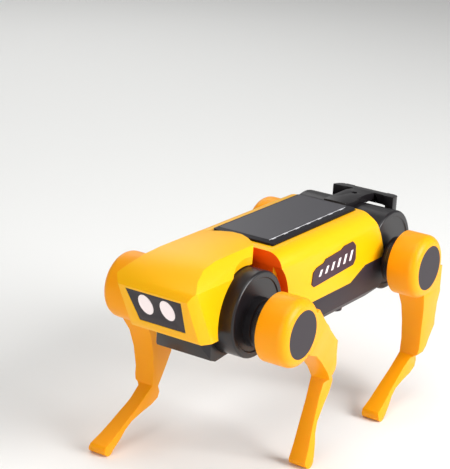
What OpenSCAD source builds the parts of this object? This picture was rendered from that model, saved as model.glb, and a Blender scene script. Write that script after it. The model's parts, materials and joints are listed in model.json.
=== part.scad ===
// Solar-driven walking robot dog, built from a kit of clip-together parts.
// Forward is +X, the dog's left is +Y, up is +Z. The origin is on the ground, midway
// between the front and rear hip axes. All sizes are in millimetres.

/* [Stance] */
// Distance between the front and rear hip axes
wheelbase = 93.6; // [93:0.2:95]
// Height of the hip axes above the ground
hip_z = 59.3; // [58.9:0.1:59.6]
// Angle between straight down and a foot, forward or rearward, at rest
stand_angle = 19.15; // [18.5:0.05:19.5]
// Largest swing of a foot to either side of straight down
swing_angle = 22; // [21:0.5:23]

/* [Body] */
// Width of the body over its side walls
body_w = 41.8; // [41.4:0.2:42.4]
// Height of the top of the body
body_top = 80.6; // [80.2:0.2:81]
// Height of the flat belly
belly_z = 46; // [45.5:0.5:46]
// Height of the seam between the top shell and the belly shell
seam_z = 56.5; // [56:0.1:57]
// Wall thickness of the shells
wall = 1.4; // [1.2:0.1:1.5]

/* [Hip housings] */
// Radius of the round housings that cross the body at the hips
drum_r = 15.8; // [15.6:0.1:15.8]
// Width of those housings over their side covers
drum_w = 40.8; // [40.4:0.2:41]
// Height of the housing centre above the hip axis
drum_rise = 2.5; // [2.3:0.1:2.7]
// Radius of the round recesses around the housings
recess_r = 19; // [18.6:0.1:19.2]

/* [Head] */
// Width of the head over its cheeks
head_w = 33; // [32:0.5:33]
// Height of the top of the head
head_top = 83.4; // [83:0.2:84]
// Half the width of one oval eye
eye_w = 2.9; // [2.6:0.1:3.2]
// Half the height of one oval eye
eye_h = 4.6; // [4:0.1:4.8]

/* [Legs] */
// Radius of the round hub at the top of a leg
hub_r = 12.5; // [12:0.1:12.8]
// Distance from the middle plane to the outer face of a hub
hub_out = 39.1; // [38.8:0.1:39.6]
// Distance from the middle plane to the inner face of a leg
leg_in = 27; // [26.8:0.1:27.2]
// Radius of the rounded end of a foot
foot_r = 2.5; // [2.2:0.1:2.8]

/* [Solar panel] */
// Length of the solar panel
panel_l = 60; // [58:0.5:60]
// Width of the solar panel
panel_w = 26; // [24:0.5:26.5]
// Thickness of the solar panel
panel_t = 1.6; // [1.4:0.1:1.8]

/* [Hidden] */
$fn = 64;
eps = 0.01;
hip_x = wheelbase / 2;
body_y = body_w / 2;
drum_y = drum_w / 2;
drum_z = hip_z + drum_rise;
front_drum_x = hip_x;
rear_drum_x = -hip_x - 2.2;
head_y = head_w / 2;
cover_t = 2.4;
housing_y = drum_y - cover_t;
drum_wall = 1.6;

// Distance and direction of a foot from its hip, the same for every leg.
foot_reach = (hip_z - foot_r) / cos(stand_angle);
foot_x = foot_reach * sin(stand_angle);
foot_z = -foot_reach * cos(stand_angle);
back_swing = -2 * stand_angle;

// Hip drive: a gear on each hip, and one rack on each side of the dog.
hip_m = 0.8;
hip_teeth = 16;
hip_r = hip_m * hip_teeth / 2;
shaft_r = 2.5;
shaft_gap = 0.06;
bush_r = 9;
cap_r = 8.8;
cap_t = 1.2;
rack_y = 14.2;
rack_t = 1.6;
rack_half = 5.9;
rack_back = 1.3;
rack_low = hip_z - hip_r;
rack_high = hip_z + hip_r;
crank_throw = hip_r * swing_angle * PI / 180;
rest_slide = hip_r * stand_angle * PI / 180;
crank_phase = acos(-rest_slide / crank_throw);

// Gear train: its axes lie in one row at one height, and neighbours mesh at train_step.
gear_m = 0.5;
small_teeth = 10;
large_teeth = 32;
train_z = 64;
crank_x = 19;
train_step = gear_m * (small_teeth + large_teeth) / 2 + 0.08;
second_x = crank_x - train_step;
first_x = crank_x - 2 * train_step;
motor_x = crank_x - 3 * train_step;
pressure_angle = 25;
addendum = 0.85;
dedendum = 1.15;
backlash = 0.12;
pin_r = 1;
axle_r = 1.5;
motor_r = 12.2;
motor_front = 3.4;
motor_back = -9;
motor_wall = 0.8;
cap_back = motor_back - 1.6;
side_plate_y = 11;
plate_t = 1.2;
disc_y = side_plate_y + plate_t + 0.3;
disc_t = 0.9;

// Partitions that hug the housings, and the floors of the recesses around them.
saddle_r = drum_r + wall + 0.45;
body_floor = [rack_y + rack_t + 0.3, rack_y + rack_t + 1.3];
head_floor = [12.5, 13.5];
floor_gap = 0.35;

// Front face of the top shell, and the screws that hold the belly shell to it.
body_front = 33.4;
body_screw_at = [[26, -5], [-25.2, 7.8]];

// Panel seat and the two wires that leave it.
panel_x0 = -2 - panel_l / 2;
panel_x1 = -2 + panel_l / 2;
panel_bottom = body_top - 0.8;
panel_top = panel_bottom + panel_t;
wire_r = 0.5;
wire_from_y = -5;
wire_down_y = cap_back - wire_r - 0.1;
terminal_top = 69;

// Face: it leans back by face_lean below the brow.
brow_x = 82.3;
brow_z = 74.4;
face_lean = 27;
face_h = 18.4;

// Colours
yellow = [1.0, 0.7, 0.02];
orange = [1.0, 0.62, 0.02];
black = [0.07, 0.07, 0.08];
charcoal = [0.24, 0.23, 0.24];
steel = [0.72, 0.73, 0.75];
brass = [0.8, 0.65, 0.35];
white = [0.95, 0.93, 0.93];
nylon = [0.9, 0.9, 0.86];

// ---- Helpers ----

// Points of an arc about (cx, cy), from angle a to angle b in n steps.
function arc(cx, cy, r, a, b, n = 8) =
    [for (i = [0 : n]) [cx + r * cos(a + (b - a) * i / n), cy + r * sin(a + (b - a) * i / n)]];

// Extrudes an outline drawn in (x, z) from y0 to y1.
module across(y0, y1) {
    translate([0, y1, 0]) rotate([90, 0, 0]) linear_extrude(y1 - y0) children();
}

// Extrudes an outline drawn in (y, z) from x0 to x1.
module along(x0, x1) {
    translate([x0, 0, 0]) rotate([90, 0, 90]) linear_extrude(x1 - x0) children();
}

// Extrudes an outline drawn in (x, y) from z0 to z1.
module upright(z0, z1) {
    translate([0, 0, z0]) linear_extrude(z1 - z0) children();
}

// A cylinder along Y through (x, z), from y0 to y1.
module rod(x, z, r, y0, y1) {
    translate([x, y1, z]) rotate([90, 0, 0]) cylinder(h = y1 - y0, r = r);
}

module block(x0, x1, y0, y1, z0, z1) {
    translate([x0, y0, z0]) cube([x1 - x0, y1 - y0, z1 - z0]);
}

// Turns a left-hand part into a right-hand one when side is -1.
module on_side(side) {
    mirror([0, side < 0 ? 1 : 0, 0]) children();
}

module both_sides() {
    for (side = [-1, 1]) on_side(side) children();
}

// ---- Gears ----

function inv(a) = tan(a) * 180 / PI - a;

// Half of the angle that one tooth fills at radius r.
function tooth_half(m, z, r) =
    let (rp = m * z / 2, rb = rp * cos(pressure_angle))
    (PI * m / 2 - backlash) / 2 / rp * 180 / PI + inv(pressure_angle)
        - (r <= rb ? 0 : inv(acos(rb / r)));

// Involute gear outline with a tooth on its +X axis.
module gear_outline(m, z) {
    rp = m * z / 2;
    root = rp - dedendum * m;
    low = max(rp * cos(pressure_angle), root + eps);
    tip = rp + addendum * m;
    radii = [root, low, low + (tip - low) * 0.35, low + (tip - low) * 0.7, tip];
    flank = len(radii) - 1;
    polygon([for (k = [0 : z - 1], side = [-1, 1], i = [0 : flank])
        let (r = radii[side < 0 ? i : flank - i], a = 360 * k / z + side * tooth_half(m, z, r))
        [r * cos(a), r * sin(a)]]);
}

// A gear about the Y axis through (x, z), from y0 to y1, with a tooth at the angle phase.
module gear(m, teeth, x, z, y0, y1, phase) {
    across(y0, y1) translate([x, z]) rotate(phase) gear_outline(m, teeth);
}

// Toothed bar along X. A tooth at x = 0 points to +Z, and the pitch line is z = 0.
module rack_outline(m, half_length, back) {
    half_tooth = (PI * m / 2 - backlash) / 2;
    slope = tan(pressure_angle);
    low = -dedendum * m;
    top = addendum * m;
    count = floor(half_length / (PI * m));
    teeth = [for (k = [count : -1 : -count], c = [[1, low], [1, top], [-1, top], [-1, low]])
        [k * PI * m + c[0] * (half_tooth - c[1] * slope), c[1]]];
    edge = max(half_length, count * PI * m + half_tooth - low * slope + eps);
    polygon(concat([[-edge, low - back], [edge, low - back], [edge, low]], teeth, [[-edge, low]]));
}

// ---- Body shells ----

// Cross-section of the body: flat top, rounded shoulders, upright sides, open downwards.
module body_section(inset) {
    r = 6.5 - inset;
    y = body_y - inset;
    z = body_top - inset;
    polygon(concat([[y, 0]], arc(y - r, z - r, r, 0, 90), arc(r - y, z - r, r, 90, 180), [[-y, 0]]));
}

// Side outline of the top shell, with a step in its lower edge and a raked rear edge.
module top_side(grow = 0) {
    step_z = 61;
    polygon([[-43 - grow, step_z - grow], [-28.3, step_z - grow], [-17.6, seam_z - grow],
        [hip_x - 6, seam_z - grow], [hip_x - 6, 66], [body_front + grow, 72], [body_front + grow, body_top + 1],
        [-33 - grow, body_top + 1],
        [-33.3 - grow, body_top - 1.5], [-35.6 - grow, 76], [-39 - grow, 71], [-41.8 - grow, 65.5]]);
}

// Side outline of the belly shell, whose top edge follows the top shell.
module belly_side(grow = 0) {
    difference() {
        polygon([[-43 - grow, 50.5], [-40.5 - grow, 47.6 - grow], [-35, belly_z - grow],
            [hip_x - 6, belly_z - grow], [hip_x - 6, 70], [-43 - grow, 70]]);
        top_side(grow);
        translate([hip_x - 2, 0]) square([10, 100]);
        translate([-60, 61]) square([200, 100]);
    }
}

module housing_rods(gap, y) {
    for (x = [rear_drum_x, front_drum_x]) rod(x, drum_z, drum_r + gap, -y, y);
}

// Slots for the racks where they enter the housings: low at the front, high at the rear.
module rack_slots() {
    gap = 0.3;
    depth = dedendum * hip_m + rack_back + gap;
    tip = addendum * hip_m + gap;
    both_sides() {
        block(0, hip_x, rack_y - gap, rack_y + rack_t + gap, rack_low - depth, rack_low + tip);
        block(-hip_x, 0, rack_y - gap, rack_y + rack_t + gap, rack_high - tip, rack_high + depth);
    }
}

// What both shells carry at their ends: partitions that hug the housings, and the floors
// and rims of the two open recesses at the front.
module end_walls() {
    intersection() {
        rod(rear_drum_x, drum_z, saddle_r, eps - body_y, body_y - eps);
        across(-body_y, body_y) translate([2.5, 0]) union() {
            top_side();
            belly_side();
        }
    }
    rod(front_drum_x, drum_z, saddle_r, -body_floor[1], body_floor[1]);
    both_sides() rod(front_drum_x, drum_z, recess_r + wall, body_floor[0], body_y);
    block(body_front - wall, body_front, -body_y, body_y, 70, body_top);
}

// What both shells give way to at their ends.
module end_spaces() {
    housing_rods(0.05, body_y - wall - 0.1);
    both_sides() rod(front_drum_x, drum_z, recess_r, body_floor[1], body_y + 1);
    rack_slots();
}

module top_solid() {
    intersection() {
        along(-50, hip_x) body_section(0);
        across(-body_y, body_y) top_side();
    }
}

module belly_solid() {
    intersection() {
        along(-50, hip_x) belly_section(0);
        across(-body_y, body_y) belly_side();
    }
}

module top_shell() {
    inner_top = body_top - wall;
    color(yellow) difference() {
        union() {
            difference() {
                top_solid();
                along(-51, hip_x + 1) body_section(wall);
            }
            intersection() {
                top_solid();
                end_walls();
            }
            for (p = body_screw_at) translate([p[0], p[1], seam_z])
                cylinder(h = inner_top - seam_z + eps, r = 2.4);
        }
        end_spaces();
        for (p = body_screw_at) translate([p[0], p[1], seam_z - 1]) cylinder(h = 12, r = 1);
        block(panel_x0 - 0.1, panel_x1 + 0.1, -panel_w / 2 - 0.1, panel_w / 2 + 0.1,
            panel_bottom, head_top);
        for (side = [-1, 1]) translate([motor_x + 5 * side, wire_from_y, inner_top - 1])
            cylinder(h = 5, r = 0.9);
    }
}

module belly_shell() {
    color(charcoal) difference() {
        union() {
            difference() {
                belly_solid();
                along(-51, hip_x + 1) belly_section(wall);
            }
            intersection() {
                belly_solid();
                end_walls();
            }
            for (p = body_screw_at) translate([p[0], p[1], belly_z + wall - eps])
                cylinder(h = seam_z - belly_z - wall - 0.1, r = 2.8);
            translate([-17, 15, belly_z]) cylinder(h = 2.6, r1 = 3, r2 = 3.4, center = true);
        }
        end_spaces();
        for (p = body_screw_at) translate([p[0], p[1], belly_z - 1]) {
            cylinder(h = 20, r = 1.1);
            cylinder(h = 2.4, r = 2.2);
        }
        translate([-17, 15, belly_z - 2]) cylinder(h = 1.3, r = 1.6);
    }
}

// Cross-section of the belly shell: flat underside with chamfered edges.
module belly_section(inset) {
    y = body_y - inset;
    z = belly_z + inset;
    polygon([[-y, 70], [-y, z + 3], [-y + 2.5, z], [y - 2.5, z], [y, z + 3], [y, 70]]);
}

// ---- Head ----

// Side outline of the head, from the rear of its top round the brow to the jaw.
module head_side() {
    polygon([[31.3, head_top], [62, head_top], [70, head_top - 0.9], [76.5, head_top - 3.4],
        [81, 76.6], [brow_x, brow_z],
        [brow_x - face_h * sin(face_lean), brow_z - face_h * cos(face_lean)], [72.6, seam_z],
        [hip_x, seam_z], [hip_x, 77.6], [body_front + 0.2, 77.6], [body_front + 0.2, body_top + 0.1],
        [31.3, body_top + 0.1]]);
}

// Front outline of the head, with sloping edges along its top.
module head_front(inset) {
    y = head_y - inset;
    z = head_top - inset;
    polygon([[-y, 50], [-y, z - 6.2], [-y + 5, z], [y - 5, z], [y, z - 6.2], [y, 50]]);
}

// Top outline of the head, rounded at the rear.
module head_plan(inset) {
    y = head_y - inset;
    polygon([[31.3, -2], [33.4, -6], [37.6, -11], [hip_x, -y], [90, -y],
        [90, y], [hip_x, y], [37.6, 11], [33.4, 6], [31.3, 2]]);
}

// Places what is drawn on the face: x points out of the face and z = 0 is the brow.
module on_face() {
    translate([brow_x, 0, brow_z]) rotate([0, face_lean, 0]) children();
}

// The face and the two bevels beside it, as a prism that leans with the face.
module face_prism(inset) {
    y = head_y - inset;
    on_face() upright(-40, 20) polygon([[-70, -y], [-3.6, -y], [-inset, -y + 2.2], [-inset, y - 2.2],
        [-3.6, y], [-70, y]]);
}

module head_solid(inset) {
    intersection() {
        across(-head_y, head_y) offset(delta = -inset) head_side();
        along(30, 90) head_front(inset);
        upright(50, 90) head_plan(inset);
        face_prism(inset);
    }
}

// Outline of the face plate in (y, z), wider at its top.
module plate_outline(gap) {
    polygon([[-11.5 - gap, -1.1 + gap], [11.5 + gap, -1.1 + gap],
        [9.6 + gap, -15.8 - gap], [-9.6 - gap, -15.8 - gap]]);
}

module head_shell() {
    color(yellow) difference() {
        union() {
            difference() {
                head_solid(0);
                head_solid(1.6);
            }
            intersection() {
                head_solid(0);
                union() {
                    rod(front_drum_x, drum_z, saddle_r + floor_gap, -head_floor[1], head_floor[1]);
                    both_sides() rod(front_drum_x, drum_z, recess_r + wall, head_floor[0], head_y);
                }
            }
        }
        rod(front_drum_x, drum_z, drum_r + floor_gap, -25, 25);
        both_sides() rod(front_drum_x, drum_z, recess_r, head_floor[1], head_y + 1);
        on_face() along(-1.2, 2) plate_outline(0.05);
    }
}

// An oval disc at the left eye, from x0 to x1 along the line of sight.
module eye_disc(x0, x1) {
    translate([x0, 4.5, -6.9]) scale([1, eye_w / eye_h, 1]) rotate([0, 90, 0])
        cylinder(h = x1 - x0, r = eye_h);
}

module face_plate() {
    color(charcoal) on_face() difference() {
        along(-1.2, -0.1) plate_outline(0);
        both_sides() eye_disc(-2, 1);
    }
}

module eye(side) {
    color(white) on_face() on_side(side) eye_disc(-1.2, 0);
}

module chin_block() {
    color(black) difference() {
        intersection() {
            across(-12, 12) polygon([[49, 46.2], [58.5, 45.4], [61.5, 46.6],
                [67.5, seam_z - 0.05], [49, seam_z - 0.05]]);
            upright(40, 60) polygon([[40, -11.5], [62, -11.5], [68, -7], [68, 7],
                [62, 11.5], [40, 11.5]]);
        }
        housing_rods(0.05, 25);
    }
}

// ---- Hip housings, covers and bushes ----

function drum_x(end) = end > 0 ? front_drum_x : rear_drum_x;

module hip_housing(end) {
    x = drum_x(end);
    color(black) difference() {
        rod(x, drum_z, drum_r, -housing_y, housing_y);
        rod(x, drum_z, drum_r - drum_wall, 0.5 - side_plate_y, side_plate_y - 0.5);
        both_sides() rod(x, drum_z, drum_r - drum_wall, side_plate_y + 1.7, housing_y + 1);
        rod(end * hip_x, hip_z, shaft_r + shaft_gap, -rack_y, rack_y);
        rack_slots();
    }
}

module hip_cover(end, side) {
    x = drum_x(end);
    color(black) on_side(side) difference() {
        translate([x, 0, drum_z]) rotate([-90, 0, 0]) rotate_extrude()
            polygon(concat([[0, housing_y]], [[drum_r, housing_y]],
                arc(drum_r - 0.8, drum_y - 0.8, 0.8, 0, 90, 4),
                [[13.6, drum_y], [13.2, drum_y - 0.4], [0, drum_y - 0.4]]));
        rod(end * hip_x, hip_z, end > 0 ? 5 : 3.2, housing_y - 1, drum_y + 1);
        if (end < 0) across(body_y - wall - 0.1, body_y + 1) union() {
            top_side(0.1);
            belly_side(0.1);
        }
    }
}

// Neck that carries a hip shaft. At the rear it is narrow where it passes the body's side.
module hip_bush(end, side) {
    x = end * hip_x;
    root = end > 0 ? [[0, housing_y + 0.1], [5, housing_y + 0.1], [5, drum_y - 0.4], [bush_r, drum_y - 0.4]]
        : [[0, housing_y + 0.1], [3.2, housing_y + 0.1], [3.2, body_y + 0.2], [6, body_y + 0.2],
            [6, drum_y + 2.4]];
    color(black) on_side(side) difference() {
        translate([x, 0, hip_z]) rotate([-90, 0, 0]) rotate_extrude()
            polygon(concat(root, [[bush_r, drum_y + 2.4], [bush_r - 0.6, drum_y + 2.8],
                [bush_r - 0.6, drum_y + 3.4], [bush_r, drum_y + 3.8], [bush_r, leg_in - 0.3],
                [0, leg_in - 0.3]]));
        rod(x, hip_z, shaft_r + shaft_gap, 0, leg_in + 1);
    }
}

// ---- Tail handle ----

// Top outline of the tail hoop, with rounded rear corners.
module hoop_plan(side_in, rear_in, r) {
    half = 13.8 - side_in;
    rear = -68.5 + rear_in;
    polygon(concat([[-47, half]], arc(rear + r, half - r, r, 90, 180),
        arc(rear + r, r - half, r, 180, 270), [[-47, -half]]));
}

// Lip of the tail handle that closes the gap between the top shell and the rear housing.
module rear_lip() {
    intersection() {
        along(-45, -30) body_section(wall + 0.05);
        across(-body_y, body_y) intersection() {
            translate([-45, 71]) square([15, 10]);
            difference() {
                translate([0.5, 0]) top_side();
                translate([2.3, 0]) top_side();
            }
        }
    }
}

module tail_handle() {
    stem_y = 4.8;
    side_front = -60.5;
    color(black) difference() {
        union() {
            intersection() {
                difference() {
                    upright(70, 82) hoop_plan(0, 0, 6);
                    upright(69, 83) hoop_plan(2.4, 7.2, 4);
                }
                across(-20, 20) polygon([[side_front, 79.3], [-66.5, 78.6], [-68.5, 77.6],
                    [-68.5, 75.4], [-66, 75], [side_front, 75.3]]);
            }
            intersection() {
                difference() {
                    upright(66, 78.4) hoop_plan(0, 0, 6);
                    upright(65, 79.4) hoop_plan(2, 2.4, 4.2);
                }
                both_sides() block(-67.6, side_front, 7.5, 14, 66, 79);
            }
            across(-stem_y, stem_y) polygon([[-62, 79.1], [-55, 80], [-38, 80], [-37.8, 79.1],
                [-32.5, 79.1], [-32.5, 76.6], [-62, 76.6]]);
            rear_lip();
        }
        housing_rods(0.05, 30);
        translate([-53.4, 0, 70]) cylinder(h = 20, r = 1.2);
    }
}

// ---- Solar panel, wires and badges ----

module solar_panel() {
    color(black) difference() {
        block(panel_x0, panel_x1, -panel_w / 2, panel_w / 2, panel_bottom, panel_top);
        for (x = [panel_x0, panel_x1], y = [-panel_w / 2, panel_w / 2]) translate([x, y, 0])
            rotate(45) cube([1.4, 1.4, 300], center = true);
    }
}

// Bare contact strips printed on the cell, one long line with short bars across it.
module cell_strips() {
    color(steel) {
        block(panel_x0 + 3, panel_x1 - 3, 9.5, 9.75, panel_top, panel_top + 0.08);
        for (x = [panel_x0 + 5 : 8 : panel_x1 - 5]) block(x, x + 2.6, 9.4, 10.1, panel_top, panel_top + 0.08);
    }
}

// Tube of radius r along the points of path, with flat ends and eight sides.
module wire_tube(path, r) {
    sides = 8;
    last = len(path) - 1;
    function heading(i) = let (d = path[min(i + 1, last)] - path[max(i - 1, 0)]) d / norm(d);
    function across_of(t) = let (s = cross(t, abs(t[2]) > 0.9 ? [1, 0, 0] : [0, 0, 1])) s / norm(s);
    rings = [for (i = [0 : last], k = [0 : sides - 1])
        let (t = heading(i), u = across_of(t), v = cross(t, u), a = 360 * k / sides)
        path[i] + r * (cos(a) * u + sin(a) * v)];
    sides_of = [for (i = [0 : last - 1], k = [0 : sides - 1])
        let (n = (k + 1) % sides)
        [i * sides + k, i * sides + n, (i + 1) * sides + n, (i + 1) * sides + k]];
    polyhedron(rings, concat([[for (k = [sides - 1 : -1 : 0]) k]], sides_of,
        [[for (k = [0 : sides - 1]) last * sides + k]]));
}

// Wire from the underside of the panel, over the motor and down to a terminal behind it.
module panel_wire(side) {
    x = motor_x + 5 * side;
    bend = 1.3;
    run_z = body_top - wall - 1.7;
    path = concat([[wire_from_y, panel_bottom]],
        arc(wire_from_y - bend, run_z + bend, bend, 0, -90, 4),
        arc(wire_down_y + bend, run_z - bend, bend, 90, 180, 4),
        [[wire_down_y, terminal_top]]);
    color(side > 0 ? "red" : "black") wire_tube([for (p = path) [x, p[0], p[1]]], wire_r);
}

// Side label plate without any lettering.
module badge(side) {
    color(charcoal) on_side(side) across(body_y, body_y + 0.35)
        polygon([[12.2, 63.8], [11.6, 68.2], [9.4, 69.6], [4.6, 70.2], [3.2, 71.4], [-8, 72.2], [-10, 73.2],
            [-16.6, 73.4], [-19, 71.4], [-19.6, 65.8], [-18, 63.8], [10.4, 62.4]]);
}

module body_screws() {
    color(steel) for (p = body_screw_at) translate([p[0], p[1], belly_z + 0.2]) {
        cylinder(h = 1.2, r = 2);
        cylinder(h = 18, r = 1);
    }
}

// ---- Gearbox ----

post_at = [[-19, 49.6], [20.5, 49.6], [1.5, 77.2]];

// Upright plate between the belly floor and the underside of the top shell.
module gearbox_plate(y0) {
    color(nylon) difference() {
        block(-27.5, 24, y0, y0 + plate_t, belly_z + wall, body_top - wall);
        rod(crank_x, train_z, axle_r + shaft_gap, y0 - 1, y0 + 2);
        if (y0 > 0) for (x = [first_x, second_x]) rod(x, train_z, pin_r, y0 - 1, y0 + 2);
        if (y0 == motor_front) rod(motor_x, train_z, 3, y0 - 1, y0 + 2);
        if (y0 < 0) block(motor_x - 8, motor_x + 8, y0 - 1, y0 + 2, 62, body_top);
    }
}

module gearbox_posts() {
    color(steel) for (p = post_at) {
        rod(p[0], p[1], 1.4, -side_plate_y, motor_front);
        rod(p[0], p[1], 1.4, motor_front + plate_t, side_plate_y);
    }
}

module gear_pins() {
    color(steel) for (x = [first_x, second_x])
        rod(x, train_z, pin_r, motor_front, side_plate_y + plate_t);
}

module motor_can() {
    color(steel) difference() {
        union() {
            rod(motor_x, train_z, motor_r, motor_back, motor_front);
            rod(motor_x, train_z, 3, motor_front - eps, motor_front + 1);
        }
        rod(motor_x, train_z, motor_r - motor_wall, motor_back - 1, motor_front - motor_wall);
        rod(motor_x, train_z, pin_r + shaft_gap, motor_back, motor_front + 2);
    }
}

// Plastic lid of the motor, with the rear bearing of its shaft.
module motor_end_cap() {
    color(white) difference() {
        union() {
            rod(motor_x, train_z, motor_r - 0.6, cap_back, motor_back);
            rod(motor_x, train_z, 2.4, motor_back - eps, motor_back + 1.2);
        }
        rod(motor_x, train_z, pin_r + shaft_gap, motor_back - 0.8, motor_front);
    }
}

module motor_terminals() {
    color(brass) for (side = [-1, 1])
        block(motor_x + 5 * side - 0.8, motor_x + 5 * side + 0.8, cap_back - 1.2, cap_back,
            terminal_top - 2, terminal_top);
}

module motor_shaft() {
    color(steel) rod(motor_x, train_z, pin_r, motor_back - 0.6, 6.7);
}

// Wound rotor inside the can.
module motor_rotor() {
    color("chocolate") difference() {
        rod(motor_x, train_z, motor_r - motor_wall - 1.2, motor_back + 1.8, motor_front - motor_wall - 0.6);
        rod(motor_x, train_z, pin_r, motor_back, motor_front);
    }
}

module motor_pinion() {
    color(brass) difference() {
        gear(gear_m, small_teeth, motor_x, train_z, 4.8, 6.6, 0);
        rod(motor_x, train_z, pin_r, 4, 8);
    }
}

// A large wheel and the small pinion moulded on it; the pinion has a tooth towards +X.
module compound_gear(x, y0) {
    color(nylon) difference() {
        union() {
            gear(gear_m, large_teeth, x, train_z, y0, y0 + 1.6, 180 + 180 / large_teeth);
            gear(gear_m, small_teeth, x, train_z, y0 + 1.6 - eps, y0 + 3.8, 0);
        }
        rod(x, train_z, pin_r + shaft_gap, y0 - 1, y0 + 5);
    }
}

module crank_gear() {
    color(nylon) difference() {
        gear(gear_m, large_teeth, crank_x, train_z, 9, 10.6, 180 + 180 / large_teeth);
        rod(crank_x, train_z, axle_r, 8, 11);
    }
}

module crank_shaft() {
    color(steel) rod(crank_x, train_z, axle_r, -disc_y - disc_t, disc_y + disc_t);
}

// The two crank pins stand opposite each other. Each stops short of the slot in its rack.
module crank_disc(side) {
    a = crank_phase + (side > 0 ? 0 : 180);
    color(nylon) on_side(side) difference() {
        union() {
            rod(crank_x, train_z, crank_throw + 2, disc_y, disc_y + disc_t);
            rod(crank_x + crank_throw * cos(a), train_z + crank_throw * sin(a), pin_r,
                disc_y, rack_y - 0.25);
        }
        rod(crank_x, train_z, axle_r, disc_y - 1, disc_y + 2);
    }
}

// Rack with a low front bar, a high rear bar and an upright slot for the crank pin between.
module stride_rack(side) {
    slot_half = pin_r + 0.15;
    low = rack_low - dedendum * hip_m - rack_back;
    high = rack_high + dedendum * hip_m;
    bar = hip_x - rack_half + 0.5;
    color(orange) on_side(side) translate([-side * rest_slide, 0, 0])
        across(rack_y, rack_y + rack_t) difference() {
            union() {
                translate([hip_x, rack_low]) rack_outline(hip_m, rack_half, rack_back);
                translate([-hip_x, rack_high]) rotate(180) rack_outline(hip_m, rack_half, rack_back);
                translate([crank_x, low + 0.1]) square([bar - crank_x, rack_back - 0.2]);
                translate([-bar, high + 0.1]) square([bar + crank_x, rack_back - 0.2]);
                translate([crank_x - 4.2, low]) square([8.4, high + rack_back - low]);
            }
            translate([crank_x - slot_half, train_z - crank_throw - slot_half])
                square([2 * slot_half, 2 * (crank_throw + slot_half)]);
        }
}

// ---- Legs and hips ----

// Rotation of a leg from the pose in which its foot points forward.
function leg_angle(end, side) = end * side > 0 ? back_swing : 0;

// Places what is drawn about a left hip at the origin, at the given end and side of the dog.
module at_hip(end, side, turn) {
    on_side(side) translate([end * hip_x, 0, hip_z]) rotate([0, -turn, 0]) children();
}

// Side outline of thigh, knee, shin and foot about the hip.
module leg_side() {
    polygon(concat(
        [[-12.4, -2], [-13, -11], [-15, -20], [-16.9, -29], [-12.9, -35.6], [-9.4, -41],
            [-10.4, -43.6], [-9.4, -45.7], [-5.5, -47.3], [0, -48.3], [6.5, -50], [10.3, -52.2], [13, -54.8]],
        arc(foot_x, foot_z, foot_r, 205, 400, 14),
        [[16.5, -52.9], [9, -48.6], [2, -44.8], [-5.6, -39.8], [-6, -34], [-5, -26], [-3.2, -19],
            [0.8, -12], [0, 0]]));
}

// Front outline of thigh, shin and foot: the thigh thins towards the knee and the shin is narrower.
module leg_front() {
    polygon([[leg_in, 0], [leg_in, -70], [34.6, -70], [34.6, -57.5], [33.9, -55], [32.9, -50], [32.2, -44],
        [32.6, -40.6], [34.9, -39.2], [35.3, -37], [35.3, -34], [35.9, -26], [36.9, -19], [38.3, -13], [38.7, 0]]);
}

module leg(end, side) {
    fillet = 3.5;
    color(orange) at_hip(end, side, leg_angle(end, side)) difference() {
        union() {
            rotate([-90, 0, 0]) rotate_extrude() polygon(concat(
                [[0, leg_in], [hub_r - 0.4, leg_in], [hub_r, leg_in + 0.4]],
                arc(hub_r - fillet, hub_out - fillet, fillet, 0, 90), [[0, hub_out]]));
            intersection() {
                across(leg_in, hub_out) leg_side();
                along(-20, 30) leg_front();
            }
        }
        rod(0, 0, cap_r + 0.05, hub_out - cap_t, hub_out + 1);
        rod(0, 0, 2.9, 35, hub_out);
        rod(0, 0, shaft_r, leg_in - 1, 36);
    }
}

module hub_cap(end, side) {
    color(charcoal) at_hip(end, side, 0) rod(0, 0, cap_r, hub_out - cap_t, hub_out);
}

// Gear and shaft of a hip in one piece. The phase sets a tooth gap over a tooth of the rack.
module hip_gear(end, side) {
    slide = -side * rest_slide;
    phase = -end * 90 + 180 / hip_teeth + slide / hip_r * 180 / PI * end;
    color(nylon) at_hip(end, side, 0) difference() {
        union() {
            gear(hip_m, hip_teeth, 0, 0, rack_y, rack_y + rack_t, phase);
            rod(0, 0, shaft_r, side_plate_y, 35);
            rod(0, 0, 4, rack_y + rack_t - eps, housing_y - 0.1);
        }
        rod(0, 0, 1.1, 27, 36);
    }
}

module leg_screw(end, side) {
    color(steel) at_hip(end, side, 0) {
        rod(0, 0, 1.1, 28, 35);
        rod(0, 0, 2.7, 35, 36.6);
    }
}

top_shell();
belly_shell();
head_shell();
chin_block();
face_plate();
eye(1);  // left_eye
eye(-1);  // right_eye
hip_housing(1);  // front_hip_housing
hip_housing(-1);  // rear_hip_housing
hip_cover(1, 1);  // front_left_hip_cover
hip_cover(1, -1);  // front_right_hip_cover
hip_cover(-1, 1);  // rear_left_hip_cover
hip_cover(-1, -1);  // rear_right_hip_cover
hip_bush(1, 1);  // front_left_hip_bush
hip_bush(1, -1);  // front_right_hip_bush
hip_bush(-1, 1);  // rear_left_hip_bush
hip_bush(-1, -1);  // rear_right_hip_bush
tail_handle();
solar_panel();
cell_strips();
panel_wire(1);  // positive_wire
panel_wire(-1);  // negative_wire
badge(1);  // left_badge
badge(-1);  // right_badge
body_screws();
gearbox_plate(side_plate_y);  // gearbox_left_plate
gearbox_plate(motor_front);  // gearbox_middle_plate
gearbox_plate(-side_plate_y - plate_t);  // gearbox_right_plate
gearbox_posts();
gear_pins();
motor_can();
motor_end_cap();
motor_terminals();
motor_shaft();
motor_rotor();
motor_pinion();
compound_gear(first_x, 4.9);  // first_gear
compound_gear(second_x, 6.9);  // second_gear
crank_gear();
crank_shaft();
crank_disc(1);  // left_crank_disc
crank_disc(-1);  // right_crank_disc
stride_rack(1);  // left_stride_rack
stride_rack(-1);  // right_stride_rack
leg(1, 1);  // front_left_leg
leg(1, -1);  // front_right_leg
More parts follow.
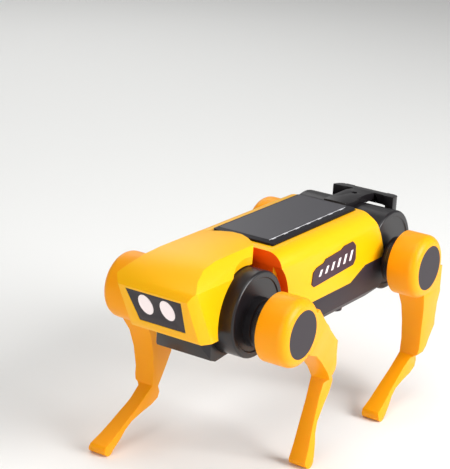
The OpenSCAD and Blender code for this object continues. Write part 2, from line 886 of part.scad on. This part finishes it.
leg(-1, 1);  // rear_left_leg
leg(-1, -1);  // rear_right_leg
hip_gear(1, 1);  // front_left_hip_gear
hip_gear(1, -1);  // front_right_hip_gear
hip_gear(-1, 1);  // rear_left_hip_gear
hip_gear(-1, -1);  // rear_right_hip_gear
hub_cap(1, 1);  // front_left_hub_cap
hub_cap(1, -1);  // front_right_hub_cap
hub_cap(-1, 1);  // rear_left_hub_cap
hub_cap(-1, -1);  // rear_right_hub_cap
leg_screw(1, 1);  // front_left_leg_screw
leg_screw(1, -1);  // front_right_leg_screw
leg_screw(-1, 1);  // rear_left_leg_screw
leg_screw(-1, -1);  // rear_right_leg_screw
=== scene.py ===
"""Looks, lights and camera for the solar robot dog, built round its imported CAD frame.
Metres, in the CAD's frame: +X forward, +Y the dog's left, +Z up, origin on the ground."""
import json
import math

import bmesh
import bpy
from mathutils import Matrix, Vector


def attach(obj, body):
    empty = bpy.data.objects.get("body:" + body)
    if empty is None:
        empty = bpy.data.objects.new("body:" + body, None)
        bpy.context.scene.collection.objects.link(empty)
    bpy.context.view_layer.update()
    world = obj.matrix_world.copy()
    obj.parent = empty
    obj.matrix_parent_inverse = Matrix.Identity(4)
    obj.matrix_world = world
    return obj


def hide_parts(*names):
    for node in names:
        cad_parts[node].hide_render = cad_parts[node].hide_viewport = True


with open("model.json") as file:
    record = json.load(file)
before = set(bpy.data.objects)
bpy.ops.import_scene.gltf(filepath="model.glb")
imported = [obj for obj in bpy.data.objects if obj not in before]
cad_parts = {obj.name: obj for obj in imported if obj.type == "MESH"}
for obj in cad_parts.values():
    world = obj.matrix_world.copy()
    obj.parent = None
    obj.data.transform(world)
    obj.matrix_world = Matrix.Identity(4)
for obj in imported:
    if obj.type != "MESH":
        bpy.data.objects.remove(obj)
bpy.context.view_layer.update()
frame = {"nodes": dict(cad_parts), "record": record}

MM = 0.001
NODES = frame["nodes"]
RECORD = frame["record"]
BODY_OF = {n: b for b, members in RECORD["behaviour"]["bodies"].items() for n in members}
SLOT_OF = {s["node"]: s["material_slot"] for s in RECORD["subparts"]}


# ---- Materials ----

def linear(hex_colour):
    """Linear RGBA of an sRGB hex colour."""
    channels = [int(hex_colour[i:i + 2], 16) / 255 for i in (0, 2, 4)]
    return [c / 12.92 if c <= 0.04045 else ((c + 0.055) / 1.055) ** 2.4 for c in channels] + [1]


def material(name, colour, roughness, metallic=0.0, glow=0.0, specular=0.5):
    """A plain surface. glow is how strongly light spreads inside it, as in thin bright plastic."""
    m = bpy.data.materials.new(name)
    m.use_nodes = True
    shader = m.node_tree.nodes["Principled BSDF"]
    shader.inputs["Base Color"].default_value = linear(colour)
    shader.inputs["Roughness"].default_value = roughness
    shader.inputs["Metallic"].default_value = metallic
    shader.inputs["Specular IOR Level"].default_value = specular
    if glow:
        shader.inputs["Subsurface Weight"].default_value = glow
        shader.inputs["Subsurface Radius"].default_value = (1.0, 0.28, 0.02)
        shader.inputs["Subsurface Scale"].default_value = 4 * MM
    m.diffuse_color = linear(colour)
    return m


MATERIALS = {
    "yellow_shell": material("yellow_shell", "FFB600", 0.38, glow=0.2, specular=0.25),
    "orange_leg": material("orange_leg", "FFA400", 0.38, glow=0.25, specular=0.25),
    "charcoal_shell": material("charcoal_shell", "2E272D", 0.45, specular=0.3),
    "black_plastic": material("black_plastic", "171417", 0.32, specular=0.45),
    "eye_white": material("eye_white", "FFF0F0", 0.35),
    "solar_cell": material("solar_cell", "151217", 0.45, specular=0.2),
    "cell_metal": material("cell_metal", "DCDCE0", 0.4, metallic=0.2),
    "badge": material("badge", "3E2A36", 0.5, specular=0.3),
    "red_wire": material("red_wire", "C01812", 0.4),
    "black_wire": material("black_wire", "1A1A1C", 0.4),
    "steel": material("steel", "B8B8BC", 0.3, metallic=1.0),
    "brass": material("brass", "C9A24C", 0.3, metallic=1.0),
    "nylon": material("nylon", "E6E4DA", 0.4),
    "white_plastic": material("white_plastic", "E8E8E8", 0.4),
    "copper_winding": material("copper_winding", "A5562C", 0.35, metallic=1.0),
}
# Painted shade: a deeper, redder orange for the recess walls of the yellow shell, standing in for the
# shade that falls there.
HOLLOW_PAINTED_SHADE = material("recess_painted_shade", "FF5A00", 0.45, specular=0.2)
CELL_GREY = material("cell_grey", "434246", 0.42, specular=0.3)
BADGE_LIGHT = material("badge_light", "F2E8EA", 0.5)


# ---- Rounded copies of CAD parts ----

SAME_POINT = 2e-6
FLAT_DEGREES = 0.6
EDGE_DEGREES = 24


def mesh_object(name, bm, slot, surface=None):
    """Makes an object of the mesh, in the slot's material unless another surface is given."""
    mesh = bpy.data.meshes.new(name)
    bm.to_mesh(mesh)
    bm.free()
    mesh.materials.append(surface or MATERIALS[slot])
    obj = bpy.data.objects.new(name, mesh)
    bpy.context.scene.collection.objects.link(obj)
    return obj


def smooth(obj, degrees=32):
    """Smooth shading that keeps edges sharper than the given angle."""
    for polygon in obj.data.polygons:
        polygon.use_smooth = True
    obj.data.set_sharp_from_angle(angle=math.radians(degrees))


def rounded(node, radius):
    """Stands in for a CAD node: the same shape with its sharp edges rounded, radius in mm."""
    bm = bmesh.new()
    bm.from_mesh(NODES[node].data)
    bmesh.ops.remove_doubles(bm, verts=bm.verts, dist=SAME_POINT)
    bmesh.ops.dissolve_limit(bm, angle_limit=math.radians(FLAT_DEGREES),
                              verts=bm.verts, edges=bm.edges)
    sharp = [e for e in bm.edges
             if len(e.link_faces) == 2 and e.calc_face_angle(0) > math.radians(EDGE_DEGREES)]
    bmesh.ops.bevel(bm, geom=sharp, offset=radius * MM, segments=3, profile=0.5,
                    affect="EDGES", clamp_overlap=True)
    obj = mesh_object(node + "_rounded", bm, SLOT_OF[node])
    smooth(obj)
    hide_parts(node)
    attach(obj, BODY_OF[node])
    return obj


LEG_ROUNDING = 0.8
ROUNDING = {"top_shell": 0.25, "belly_shell": 0.4, "head_shell": 0.9, "chin_block": 0.5,
            "tail_handle": 0.4, "solar_panel": 0.15, "face_plate": 0.1}
for node, radius in ROUNDING.items():
    rounded(node, radius)
for node in NODES:
    if node.endswith("_leg"):
        rounded(node, LEG_ROUNDING)


def paint_hollow_shade():
    """Paints shade onto the walls of the top shell's front recesses: a deeper orange than the
    outside, in place of the shade that falls there.
    """
    hip_x = 46.8
    hip_z = 61.8
    reach = 19.4
    obj = bpy.data.objects["top_shell_rounded"]
    obj.data.materials.append(HOLLOW_PAINTED_SHADE)
    for face in obj.data.polygons:
        x, y, z = face.center / MM
        inside = math.hypot(x - hip_x, z - hip_z) < reach or face.normal.x > 0.9
        outer_side = abs(y) >= 20.35 or abs(face.normal.y) >= 0.95
        # The recess faces get the painted shade material.
        if x > 26 and inside and not outer_side:
            face.material_index = 1


paint_hollow_shade()


# ---- Thin surface layers ----

def slab(bm, outline, z0, z1):
    """Adds a closed prism over a counter-clockwise outline of (x, y) points, in millimetres."""
    low = [bm.verts.new((x * MM, y * MM, z0 * MM)) for x, y in outline]
    high = [bm.verts.new((x * MM, y * MM, z1 * MM)) for x, y in outline]
    bm.faces.new(low[::-1])
    bm.faces.new(high)
    count = len(outline)
    for i in range(count):
        j = (i + 1) % count
        bm.faces.new((low[i], low[j], high[j], high[i]))


def box_of(node):
    """Least and greatest corner of a CAD node, in millimetres."""
    points = [v.co / MM for v in NODES[node].data.vertices]
    return [[pick(p[axis] for p in points) for axis in range(3)] for pick in (min, max)]


def cell_surface():
    """The grey cells of the solar panel, inside its black border, widest in front and on the left."""
    low, high = box_of("solar_panel")
    border = 0.8
    front_border = 3.4
    left_border = 3.8
    back, right = low[0] + border, low[1] + border
    front, left = high[0] - front_border, high[1] - left_border
    bm = bmesh.new()
    outline = [(back, right), (front, right), (front, left), (back, left)]
    slab(bm, outline, high[2] - 0.05, high[2] + 0.03)
    obj = mesh_object("cell_surface", bm, "solar_cell", CELL_GREY)
    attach(obj, "body")


def badge_stripes(side):
    """Slanted light bars on a side badge, in place of any lettering."""
    bm = bmesh.new()
    out = box_of("left_badge")[1][1]
    count = 6
    first_x = 7.6
    pitch = 4.4
    width = 1.5
    lean = 1.2
    for k in range(count):
        x = first_x - pitch * k
        foot = 65.6 + 0.12 * k
        head = 68.0 + 0.42 * k
        corners = [(x, foot), (x - width, foot), (x - width - lean, head), (x - lean, head)]
        inner = [bm.verts.new((a * MM, side * (out - 0.05) * MM, c * MM)) for a, c in corners]
        outer = [bm.verts.new((a * MM, side * (out + 0.03) * MM, c * MM)) for a, c in corners]
        bm.faces.new(inner)
        bm.faces.new(outer[::-1])
        for i in range(4):
            j = (i + 1) % 4
            bm.faces.new((inner[j], inner[i], outer[i], outer[j]))
    bmesh.ops.recalc_face_normals(bm, faces=bm.faces)
    name = "left_badge_bars" if side > 0 else "right_badge_bars"
    obj = mesh_object(name, bm, "badge", BADGE_LIGHT)
    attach(obj, "body")


cell_surface()
for side in (1, -1):
    badge_stripes(side)


# ---- CAD parts shown as they are ----

for node, obj in NODES.items():
    obj.data.materials.clear()
    obj.data.materials.append(MATERIALS[SLOT_OF[node]])


# ---- Floor, lights and camera ----

def plane(name, size, colour):
    """A square of floor, which is not part of the dog."""
    bpy.ops.mesh.primitive_plane_add(size=size)
    obj = bpy.context.object
    obj.name = name
    obj.data.materials.append(material(name, colour, 0.6, specular=0.2))
    return obj


def area_light(name, place, target, size, power):
    """A white square light that faces its target. Size in metres, power in watts."""
    data = bpy.data.lights.new(name, "AREA")
    data.size = size
    data.energy = power
    obj = bpy.data.objects.new(name, data)
    obj.location = place
    obj.rotation_euler = (Vector(target) - Vector(place)).to_track_quat("-Z", "Y").to_euler()
    bpy.context.scene.collection.objects.link(obj)
    return obj


plane("floor", 8, "F4F4F2")
CENTRE = (0.0, 0.0, 0.05)
area_light("key", (-0.15, 0.75, 0.45), CENTRE, 0.5, 9)
area_light("front_fill", (0.9, 0.15, 0.35), CENTRE, 0.6, 2.2)
area_light("top", (0.1, 0.0, 0.9), CENTRE, 0.6, 2.6)
area_light("back", (-0.5, -0.6, 0.5), CENTRE, 0.5, 1.2)

world = bpy.data.worlds.new("world")
bpy.context.scene.world = world
world.use_nodes = True
background = world.node_tree.nodes["Background"]
background.inputs["Color"].default_value = (1, 1, 1, 1)
background.inputs["Strength"].default_value = 0.3
bpy.context.scene.view_settings.view_transform = "Standard"

CAMERA_AT = Vector((512.9425, 306.1284, 269.5099)) * MM
CAMERA_RIGHT = Vector((-0.55751788, 0.82822929, 0.0566574))
CAMERA_FORWARD = Vector((-0.79806364, -0.51591459, -0.3113303))
CAMERA_LENS = 134.5

camera_data = bpy.data.cameras.new("camera")
camera_data.sensor_fit = "HORIZONTAL"
camera_data.sensor_width = 36
camera_data.lens = CAMERA_LENS
camera = bpy.data.objects.new("camera", camera_data)
forward = CAMERA_FORWARD.normalized()
right = (CAMERA_RIGHT - forward * CAMERA_RIGHT.dot(forward)).normalized()
up = right.cross(forward)
camera.matrix_world = (Matrix.Translation(CAMERA_AT)
                       @ Matrix((right, up, -forward)).transposed().to_4x4())
bpy.context.scene.collection.objects.link(camera)
bpy.context.scene.camera = camera
